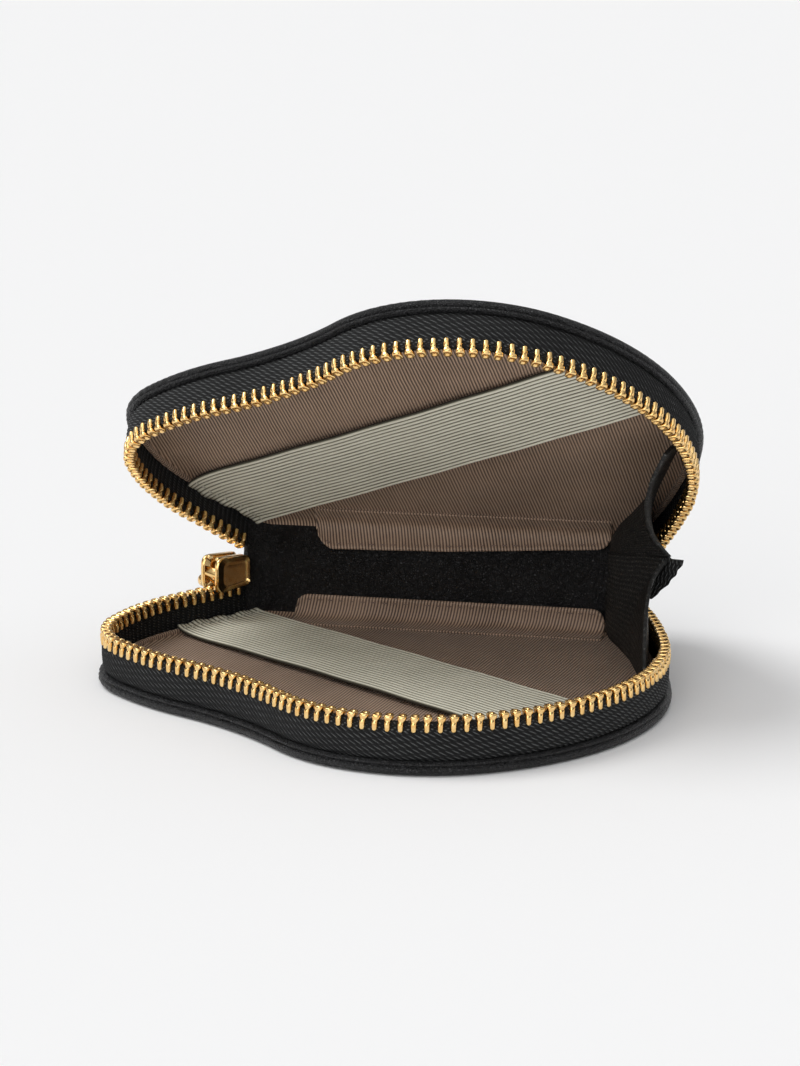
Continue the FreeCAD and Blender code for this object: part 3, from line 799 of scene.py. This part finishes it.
def stitches(name, pts, up, mat, body, lid, length=1.5, gap=0.7, rad=0.17):
    """A row of short round stitches along a polyline given in half coordinates."""
    pts = np.array(pts, float)
    seg = np.linalg.norm(np.diff(pts, axis=0), axis=1)
    cum = np.concatenate([[0], np.cumsum(seg)])
    P, F = [], []
    s = 0.2
    k, rings = 8, 7
    while s + length < cum[-1]:
        ring_s = np.linspace(s, s + length, rings)
        c = np.column_stack([np.interp(ring_s, cum, pts[:, q]) for q in range(3)])
        t = c[-1] - c[0]
        t /= np.linalg.norm(t)
        side = np.cross(t, up)
        side /= np.linalg.norm(side)
        upv = np.cross(side, t)
        i0 = len(P)
        for r in range(rings):
            f = r / (rings - 1)
            swell = math.sqrt(max(0.02, 1 - (2 * f - 1) ** 4))
            lift = 0.10 * math.sin(math.pi * f) - 0.05
            for a in range(k):
                th = 2 * math.pi * a / k
                P.append(c[r] + upv * (lift + rad * swell * math.sin(th)) + side * rad * swell * math.cos(th))
        F += [tuple(i0 + q for q in f) for f in grid_faces(rings, k, False, True)]
        F += [tuple(i0 + q for q in range(k))[::-1], tuple(i0 + (rings - 1) * k + q for q in range(k))]
        s += length + gap
    return add(name, P, F, mat, lid, body=body, flip=False)


# ------------------------------------------------------------------ spine, flap, gussets, tail
def bezier(a, b, c, d, t):
    t = np.asarray(t)[:, None]
    return (1 - t) ** 3 * a + 3 * (1 - t) ** 2 * t * b + 3 * (1 - t) * t ** 2 * c + t ** 3 * d


def solid_grid(front, back, close_ends=True):
    """Two matching n x m grids of points joined round their rims into one closed skin."""
    n, m = front.shape[:2]
    N = n * m
    P = np.concatenate([front.reshape(-1, 3), back.reshape(-1, 3)])
    F = grid_faces(n, m)
    G = [(a + N, d + N, c + N, b + N) for a, b, c, d in F]
    F = F + G
    for i in range(n - 1):
        a, b = i * m, (i + 1) * m
        F.append((a, a + N, b + N, b))
        a, b = i * m + m - 1, (i + 1) * m + m - 1
        F.append((a, b, b + N, a + N))
    for j in range(m - 1):
        F.append((j, j + 1, j + 1 + N, j + N))
        a = (n - 1) * m + j
        F.append((a, a + N, a + 1 + N, a + 1))
    return P, F


def spine_leather():
    """One strip of leather from the lower edge bead to the upper one, wrapped round both corners of the spine."""
    ext = 0.0
    ss = np.linspace(-0.8, BACK_LEN + 0.8, 150)

    def back_at(s, off):
        if s < 0:
            return run_at(RUN_B + s, off)
        if s > BACK_LEN:
            return run_at(RUN_A + (s - BACK_LEN), off)
        for seg in BACK:
            if s <= seg.length or seg is BACK[-1]:
                return seg.at(s, off)
            s -= seg.length

    m = 34
    tt = np.linspace(0, 1, m)
    out, inn = np.zeros((len(ss), m, 3)), np.zeros((len(ss), m, 3))
    for i, s in enumerate(ss):
        for grid, off in ((out, -0.05), (inn, -1.15)):
            x, y, h = back_at(s, off)
            a = np.array([x, y, 2.0])
            up0 = np.array([0, 0, 1.0])
            d = half([[x, y, 2.0]], True)[0]
            dn1 = half_dir([0, 0, 1.0], True)
            span = np.linalg.norm(d - a)
            k = 0.36 * span
            grid[i] = bezier(a, a + up0 * k, d + dn1 * k, d, tt)
            if off > -0.5:
                crease = 0.10 * np.sin(tt * math.pi * 9 + 0.8 * math.sin(s * 0.4)) * np.sin(tt * math.pi)
                nn = np.array([math.sin(h), -math.cos(h), 0])
                grid[i] += crease[:, None] * nn[None, :]
    P, F = solid_grid(out, inn)
    S, T = np.meshgrid(ss, tt * 22.0, indexing="ij")
    uv = np.column_stack([S.ravel(), T.ravel()])
    ob = add("spine_leather_strip", P, F, M_LEATHER, None, np.vstack([uv, uv]))
    lows = [back_at(s, -0.6)[:2] for s in ss[::10]]
    s0, e0 = blend_line((0.0, 40.0, 14.0), [(x, y, 3.2) for x, y in lows], [tuple(half([[x, y, 3.2]], True)[0]) for x, y in lows])
    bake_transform(ob)
    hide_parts("rear_spine_lower", "rear_spine_upper")
    return ob


def lining_flap(lid):
    """The lining turned from the floor on to the inner wall of the spine, with a hem along its free edge."""
    if lid:
        x0, x1 = -20.6, 33.0
        edge = lambda x: float(np.interp(x, [-21, -17.5, 4, 33], [6.2, 8.1, 7.6, 5.8]))
    else:
        x0, x1 = -24.0, 33.0
        edge = lambda x: 7.0
    n, m = 110, 22
    xs = np.linspace(x0, x1, n)
    front, back = np.zeros((n, m, 3)), np.zeros((n, m, 3))
    for i, x in enumerate(xs):
        e = edge(x)
        # corners rounded
        for xc, sgn in ((x0, 1), (x1, -1)):
            dx = abs(x - xc)
            if dx < 2.6:
                e -= 2.6 - math.sqrt(max(0.0, 2.6 ** 2 - (2.6 - dx) ** 2))
        path = [(33.4, 2.72), (36.2, 2.80), (37.4, 3.05), (38.15, 3.75), (38.42, 4.6), (38.5, e - 0.7), (38.42, e - 0.35), (38.50, e)]
        path = np.array(path)
        L = np.concatenate([[0], np.cumsum(np.linalg.norm(np.diff(path, axis=0), axis=1))])
        q = np.linspace(0, L[-1], m)
        py, pw = np.interp(q, L, path[:, 0]), np.interp(q, L, path[:, 1])
        ripple = 0.10 * np.sin(x * 0.55 + q * 0.35) * np.clip(q / 5.0, 0, 1)
        ripple += 0.22 * np.exp(-((q - L[-1] + 0.55) / 0.4) ** 2)  # the rolled hem
        ny, nw = np.gradient(pw), -np.gradient(py)
        ln = np.hypot(ny, nw)
        ny, nw = -ny / ln, -nw / ln
        front[i] = np.column_stack([np.full(m, x), py + ny * (ripple + 0.10), pw + nw * (ripple + 0.10)])
        back[i] = np.column_stack([np.full(m, x), py - ny * 0.22, pw - nw * 0.22])
    P, F = solid_grid(front, back)
    X, Q = np.meshgrid(xs, np.linspace(0, 10, m), indexing="ij")
    uv = np.column_stack([X.ravel(), Q.ravel()])
    ob = add(SIDE[lid] + "_lining_flap", P, F, M_LINING, lid, np.vstack([uv, uv]), body=BODY[lid])
    row = [(x, 38.30, edge(x) - 0.95) for x in np.linspace(x0 + 1.8, x1 - 1.8, 60)]
    stitches(SIDE[lid] + "_flap_stitches", row, (0, -1, 0), M_THREAD_TAUPE, BODY[lid], lid, 1.1, 0.9, 0.11)
    return ob


# a plane through the hinge line, halfway between the two halves; N3 is its normal
_b = Vector((0, -math.cos(math.radians(19.8)), math.sin(math.radians(19.8))))
_b = (_b - AXIS * _b.dot(AXIS)).normalized()
N3 = _b.cross(AXIS)
if N3.z < 0:
    N3 = -N3


def above_middle(p):
    return float((Vector(p) - HP).dot(N3))


def blend_line(at, low_pts, high_pts):
    """Ends of the blend so that every point fixed to the lower half gets 0 and every one fixed to the upper half gets 1."""
    lo = max(above_middle(p) for p in low_pts)
    hi = min(above_middle(p) for p in high_pts)
    c = Vector(at) - N3 * above_middle(at)
    return tuple(float(v) * MM for v in c + N3 * lo), tuple(float(v) * MM for v in c + N3 * hi)


def along(poly, k):
    poly = np.array(poly, float)
    L = np.concatenate([[0], np.cumsum(np.linalg.norm(np.diff(poly, axis=0), axis=1))])
    q = np.linspace(0, L[-1], k)
    return np.column_stack([np.interp(q, L, poly[:, c]) for c in range(poly.shape[1])])


def smoothed(poly, k, passes=60):
    dense = along(poly, 240)
    for _ in range(passes):
        dense[1:-1] = 0.25 * dense[:-2] + 0.5 * dense[1:-1] + 0.25 * dense[2:]
    return along(dense, k)


def folding_gusset():
    """One leather panel folded outward along a crease, open at its front, sewn to both halves."""
    crease = [(45.3, 31.5, 19.1), (40.8, 33.7, 18.6), (36.3, 35.7, 18.1), (33.7, 37.6, 17.7)]
    free_lo = [(45.5, -0.9, 2.6), (44.5, 4.5, 9.3), (43.9, 9.9, 13.2), (43.5, 15.3, 15.5), (43.4, 20.7, 17.3), (43.9, 26.1, 18.4), (45.3, 31.5, 19.1)]
    free_up = [(47.4, 4.8, 43.6), (44.6, 10.1, 37.9), (42.9, 15.5, 32.2), (42.6, 20.8, 27.4), (43.2, 26.2, 23.2), (45.3, 31.5, 19.1)]
    floor_lo = [(45.5, -1.5, 2.6), (44.3, 5.0, 2.6), (42.6, 13.0, 2.6), (40.0, 22.0, 2.6), (36.8, 30.0, 2.6), (34.6, 34.6, 2.7), (33.4, 37.3, 3.6)]
    floor_up = [(46.9, -3.4, 2.6), (44.4, 5.0, 2.6), (42.6, 13.0, 2.6), (40.0, 22.0, 2.6), (36.8, 30.0, 2.6), (34.6, 34.6, 2.7), (33.4, 37.3, 3.6)]
    nf, nc, m = 44, 18, 26
    top_lo = np.vstack([smoothed(free_lo, nf, 30)[:-1], smoothed(crease, nc, 10)])
    top_up = np.vstack([smoothed(free_up, nf, 30)[:-1], smoothed(crease, nc, 10)])
    n = len(top_lo)
    base_lo, base_up = smoothed(floor_lo, n, 10), half(smoothed(floor_up, n, 10), True)
    t = np.linspace(0, 1, m)
    mid = np.zeros((n, 2 * m - 1, 3))
    for i in range(n):
        u = i / (n - 1)
        a = base_lo[i][None, :] * (1 - t)[:, None] + top_lo[i][None, :] * t[:, None]
        b = top_up[i][None, :] * (1 - t)[:, None] + base_up[i][None, :] * t[:, None]
        # near the back the leaves stay close to the middle and only turn out towards the fold, clear of the teeth
        g = min(1.0, max(0.0, (u - 0.30) / 0.30))
        ta, tb = t ** (1 + 0.9 * g), 1 - (1 - t) ** (1 + 0.9 * g)
        a[:, 0] = base_lo[i][0] * (1 - ta) + top_lo[i][0] * ta
        b[:, 0] = top_up[i][0] * (1 - tb) + base_up[i][0] * tb
        # soft leather: slight belly and ripples
        belly = 0.7 * math.sin(math.pi * min(1.0, u * 1.5)) if u < 0.667 else 0.0
        a[:, 0] += belly * np.sin(math.pi * t) * 0.7 + 0.14 * np.sin(9 * t + 7 * u) * np.sin(math.pi * t)
        b[:, 0] -= belly * np.sin(math.pi * t) * 1.1 + 0.16 * np.sin(8 * t + 9 * u) * np.sin(math.pi * t)
        mid[i, :m] = a
        if i < nf - 1:
            mid[i, m:] = b[1:]
        else:
            mid[i, m:] = b[1:]
    return mid, nf, m


def gusset_pieces():
    mid, nf, m = folding_gusset()
    n = mid.shape[0]
    pts, cols = [], []
    out = []
    for part, sl in (("lower", slice(0, m)), ("upper", slice(m - 1, 2 * m - 1))):
        g = mid[:, sl].copy()
        if part == "upper":
            # the first column must start on the free edge of the upper leaf
            g[:nf - 1, 0] = 2 * mid[:nf - 1, m] - mid[:nf - 1, m + 1]
        du, dv = np.gradient(g, axis=0), np.gradient(g, axis=1)
        nr = np.cross(du, dv)
        nr /= np.maximum(np.linalg.norm(nr, axis=2, keepdims=True), 1e-9)
        f, h = g + nr * 0.30, g - nr * 0.30
        P, F = solid_grid(f, h)
        U, V = np.meshgrid(np.linspace(0, 42, n), np.linspace(0, 15, g.shape[1]), indexing="ij")
        uv = np.column_stack([U.ravel(), V.ravel()])
        ob = add("right_gusset_%s_leaf" % part, P, F, M_GUSSET, None, np.vstack([uv, uv]))
        # the free edge faces take the cut edge material with its painted highlight
        ob.data.materials.append(M_CUT_EDGE_HIGHLIGHT)
        N, mm = n * g.shape[1], g.shape[1]
        col = mm - 1 if part == "lower" else 0
        for poly in ob.data.polygons:
            vs = list(poly.vertices)
            if any(v >= N for v in vs) and any(v < N for v in vs):
                js = [(v % N) % mm for v in vs]
                iis = [(v % N) // mm for v in vs]
                if all(j == col for j in js) and max(iis) < nf + 1:
                    poly.material_index = 1
        out.append((ob, g))
    return out


for lid in (False, True):
    elastic_band(lid)
spine_leather()
for lid in (False, True):
    lining_flap(lid)

_leaf = gusset_pieces()
_low_line = _leaf[0][1][:, 0]
_up_line = _leaf[1][1][:, -1]
_gs, _ge = blend_line((40.0, 30.0, 18.5), _low_line, _up_line)
for _ob, _g in _leaf:
    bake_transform(_ob)
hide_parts("right_gusset_lower")
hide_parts("right_gusset_upper")


def tape_tail():
    """The sewn ends of the two tapes, sticking out beside the fold of the gusset."""
    n, m = 34, 40
    ridge_p = 0.85
    lo_in, hi_in = np.array([39.9, 30.9, 12.3]), np.array([44.2, 31.5, 19.0])
    lo_out, hi_out = np.array([42.4, 29.8, 12.0]), np.array([48.4, 29.6, 18.9])
    front, back = np.zeros((n, m, 3)), np.zeros((n, m, 3))
    for i in range(n):
        u = i / (n - 1)
        for j in range(m):
            v = j / (m - 1)
            vv = v ** 0.9
            a = lo_in * (1 - vv) + hi_in * vv
            b = lo_out * (1 - vv) + hi_out * vv
            p = a * (1 - u) + b * u
            p = p + np.array([0.0, -0.9 * math.sin(math.pi * u) * v, 0.35 * math.sin(2.5 * u) * (v - 0.3)])
            p[0] += (0.45 * math.sin(math.pi * v * 1.3) + 0.14 * math.sin(23.0 * v)) * u
            r = 0.13 * math.sin(2 * math.pi * (v * 7.4) / ridge_p + 1.2 * u) + 0.10 * math.sin(5.0 * v + 3.0 * u)
            front[i, j] = p + np.array([0.05, -0.55 - r, 0.0])
            back[i, j] = p + np.array([-0.05, 0.55 + r, 0.0])
    P, F = solid_grid(front, back)
    U, V = np.meshgrid(np.linspace(0, 5, n), np.linspace(0, 7.6, m), indexing="ij")
    uv = np.column_stack([V.ravel(), U.ravel()])
    ob = add("zip_tail_tape", P, F, M_TAPE, None, np.vstack([uv, uv]), flip=False)
    s0, e0 = blend_line((44.5, 31.0, 16.0), [(43, 31, 6.0)], [tuple(half([[43, 31, 6.0]], True)[0])])
    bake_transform(ob)
    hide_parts("zip_tape_tail")
    return ob


tape_tail()

# ------------------------------------------------------------------ slider, bail, tab: the CAD bodies, finished in gold
TV, NV = np.array([-0.57586, -0.81755, 0.0]), np.array([-0.81755, 0.57586, 0.0])
SLIDE_O = np.array([-34.655, 35.095, 12.0]) - TV * 1.6


def rounded_outline(pts, r, k=6):
    """Corners of a convex polygon rounded off."""
    pts = np.array(pts, float)
    out = []
    for i in range(len(pts)):
        a, b, c = pts[i - 1], pts[i], pts[(i + 1) % len(pts)]
        rr = r[i] if hasattr(r, "__len__") else r
        p0 = b + (a - b) / np.linalg.norm(a - b) * rr
        p1 = b + (c - b) / np.linalg.norm(c - b) * rr
        for t in np.linspace(0, 1, k):
            out.append((1 - t) ** 2 * p0 + 2 * t * (1 - t) * b + t * t * p1)
    return np.array(out)


def bevelled_plate(out2, y0, y1, bev, crown=0.0):
    """Outline in (travel, height), thickness from y0 to y1, edges rounded in three steps."""
    c = out2.mean(axis=0)
    rings = []
    for y, ins in ((y0, bev), (y0 + 0.3 * bev, 0.3 * bev), (y0 + bev, 0.0), (y1 - bev, 0.0), (y1 - 0.3 * bev, 0.3 * bev), (y1, bev)):
        v = out2 - c
        L = np.linalg.norm(v, axis=1, keepdims=True)
        q = c + v * (1 - ins / L)
        rings.append(np.column_stack([q[:, 0], np.full(len(q), y), q[:, 1]]))
    k = len(out2)
    P = np.concatenate(rings)
    F = grid_faces(len(rings), k, False, True)
    for base, y, sgn in ((0, y0, 1), ((len(rings) - 1) * k, y1, -1)):
        idx = len(P)
        mid = rings[0 if base == 0 else -1].copy()
        mid = np.array([c[0], y, c[1]]) + (mid - np.array([c[0], y, c[1]])) * 0.6
        mid[:, 1] = y + (-crown if base == 0 else crown)
        P = np.vstack([P, mid, [[c[0], y + (-crown if base == 0 else crown) * 1.2, c[1]]]])
        for i in range(k):
            j = (i + 1) % k
            quad, tri = (base + i, base + j, idx + j, idx + i), (idx + i, idx + j, idx + k)
            if base == 0:
                quad, tri = quad[::-1], tri[::-1]
            F += [quad, tri]
    return P, F


def to_row(P):
    P = np.asarray(P, float)
    return SLIDE_O + P[:, :1] * TV + P[:, 1:2] * (-NV) + P[:, 2:3] * np.array([0.0, 0.0, 1.0])


def slider():
    """Zip slider: an inner and an outer wing joined by a wedge, lips turned in along both edges, and a wire bail outside."""
    wing = rounded_outline([(0.0, -2.75), (8.0, -3.35), (8.0, 3.35), (0.0, 2.75)], [1.0, 2.0, 2.0, 1.0])
    parts = [bevelled_plate(wing, 1.95, 2.85, 0.28, 0.16), bevelled_plate(wing, -1.85, -0.95, 0.28, 0.16)]
    wedge = rounded_outline([(5.3, 0.0), (7.0, -1.35), (8.0, 0.0), (7.0, 1.35)], 0.5)
    parts.append(bevelled_plate(wedge, -1.1, 2.1, 0.1))
    for z0, z1 in ((-3.28, -2.5), (2.5, 3.28)):
        for y0, y1 in ((1.35, 2.1), (-1.1, -0.35)):
            lip = rounded_outline([(1.0, z0 + 0.35 * (1 if z0 < 0 else 0)), (7.2, z0), (7.2, z1), (1.0, z1 - 0.35 * (0 if z0 < 0 else 1))], 0.3, 4)
            parts.append(bevelled_plate(lip, y0, y1, 0.1))
    P, F = [], []
    for p, f in parts:
        i0 = sum(len(q) for q in P)
        P.append(p)
        F += [tuple(i0 + i for i in g) for g in f]
    ob = add("zip_slider_body", to_row(np.concatenate(P)), F, M_GOLD_SMOOTH, None, body="slider", flip=True)
    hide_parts("slider_body")
    # bail: a flattened wire arch over the outer wing
    t = np.linspace(0, 1, 40)
    px = 1.6 + 4.2 * t
    py = -1.45 - 3.0 * np.sin(np.pi * t) ** 0.45
    path = np.column_stack([px, py])
    path[0, 1] = path[-1, 1] = -1.3
    tan = np.gradient(path, axis=0)
    tan /= np.linalg.norm(tan, axis=1, keepdims=True)
    nor = np.column_stack([-tan[:, 1], tan[:, 0]])
    k = 16
    P = []
    for i in range(len(t)):
        for a in range(k):
            th = 2 * math.pi * a / k
            q = path[i] + nor[i] * 0.36 * math.cos(th)
            P.append((q[0], q[1], 0.72 * math.sin(th)))
    F = grid_faces(len(t), k, False, True)
    F += [tuple(range(k))[::-1], tuple(range((len(t) - 1) * k, len(t) * k))]
    Pb = np.array(P)
    Pb = np.array([-34.655, 35.095, 10.0]) + Pb[:, :1] * TV + Pb[:, 1:2] * (-NV) + Pb[:, 2:3] * np.array([0.0, 0.0, 1.0])
    ob = add("zip_slider_bail", Pb, F, M_GOLD_SMOOTH, None, body="slider")
    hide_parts("slider_bail")


slider()


def end_stop(lid):
    """Crimped metal stop over the cord at the closed end of the zip."""
    ss = np.linspace(RUN_B - 3.3, RUN_B - 1.1, 12)
    prof = rounded(-1.35, 0.62, 7.15, 9.82, 0.55, 5)
    t = (ss - ss[0]) / (ss[-1] - ss[0])
    shrink = 1 - 0.22 * np.abs(2 * t - 1) ** 6 - 0.10 * np.exp(-((t - 0.5) / 0.12) ** 2)

    def vary(s, j):
        o, h = prof[j]
        return (o + 0.37) * (shrink - 1), (h - 8.5) * (shrink - 1) * 0.7

    P, F, uv = swept(ss, run_at, prof, False, vary)
    ob = add(SIDE[lid] + "_crimped_stop", P, F, M_GOLD_SMOOTH, lid, uv, body=BODY[lid])
    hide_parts(SIDE[lid] + "_end_stop")


for lid in (False, True):
    end_stop(lid)
for name in ("pull_tab",):
    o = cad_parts[name]
    o.data.materials.clear()
    o.data.materials.append(M_GOLD_SMOOTH)

# ------------------------------------------------------------------ light, floor, camera
floor_me = bpy.data.meshes.new("floor")
R = 6.0
floor_me.from_pydata([(-R, -R, 0), (R, -R, 0), (R, R, 0), (-R, R, 0)], [], [(0, 1, 2, 3)])
floor = bpy.data.objects.new("floor", floor_me)
scene.collection.objects.link(floor)
fm, fnt, fp = material("pale_floor")
fp.inputs["Base Color"].default_value = (0.888, 0.888, 0.889, 1)
fp.inputs["Roughness"].default_value = 0.85
fp.inputs["Specular IOR Level"].default_value = 0.2
floor_me.materials.append(fm)

world = bpy.data.worlds.new("studio")
scene.world = world
world.use_nodes = True
wnt = world.node_tree
bg = wnt.nodes["Background"]
wsep = wnt.nodes.new("ShaderNodeSeparateXYZ")
wnt.links.new(wnt.nodes.new("ShaderNodeTexCoord").outputs["Generated"], wsep.inputs[0])
# a pale horizon, a dim belt above it and a white ceiling
wr = ramp(wnt, wsep.outputs[2], [(0.0, (0.87, 0.87, 0.87)), (0.11, (0.87, 0.87, 0.87)), (0.20, (0.11, 0.11, 0.112)), (0.34, (0.16, 0.16, 0.162)), (0.60, (0.54, 0.54, 0.545)), (1.0, (0.71, 0.71, 0.715))])
wnt.links.new(wr, bg.inputs[0])
bg.inputs[1].default_value = 1.0


def sun(name, direction, strength, angle):
    ld = bpy.data.lights.new(name, "SUN")
    ld.energy, ld.angle = strength, math.radians(angle)
    lo = bpy.data.objects.new(name, ld)
    scene.collection.objects.link(lo)
    lo.rotation_euler = Vector(direction).to_track_quat("-Z", "Y").to_euler()
    return lo


sun("key_left", (0.62, 0.02, -0.95), 1.30, 34.0)
sun("front_top", (-0.10, 0.75, -0.85), 0.44, 50.0)
sun("front_low", (0.28, 0.92, -0.26), 0.80, 44.0)

cam_d = bpy.data.cameras.new("camera")
cam = bpy.data.objects.new("camera", cam_d)
scene.collection.objects.link(cam)
cam_d.sensor_fit = "VERTICAL"
cam_d.sensor_height = 36.0
cam_d.lens = 117.87
cam_d.clip_start, cam_d.clip_end = 0.01, 50
pitch = math.radians(14.0)
look = Vector((-0.2011 * math.cos(pitch), 0.9796 * math.cos(pitch), -math.sin(pitch)))
cam.location = (0.118221, -0.559688, 0.171520)
cam.rotation_euler = look.to_track_quat("-Z", "Y").to_euler()
scene.camera = cam
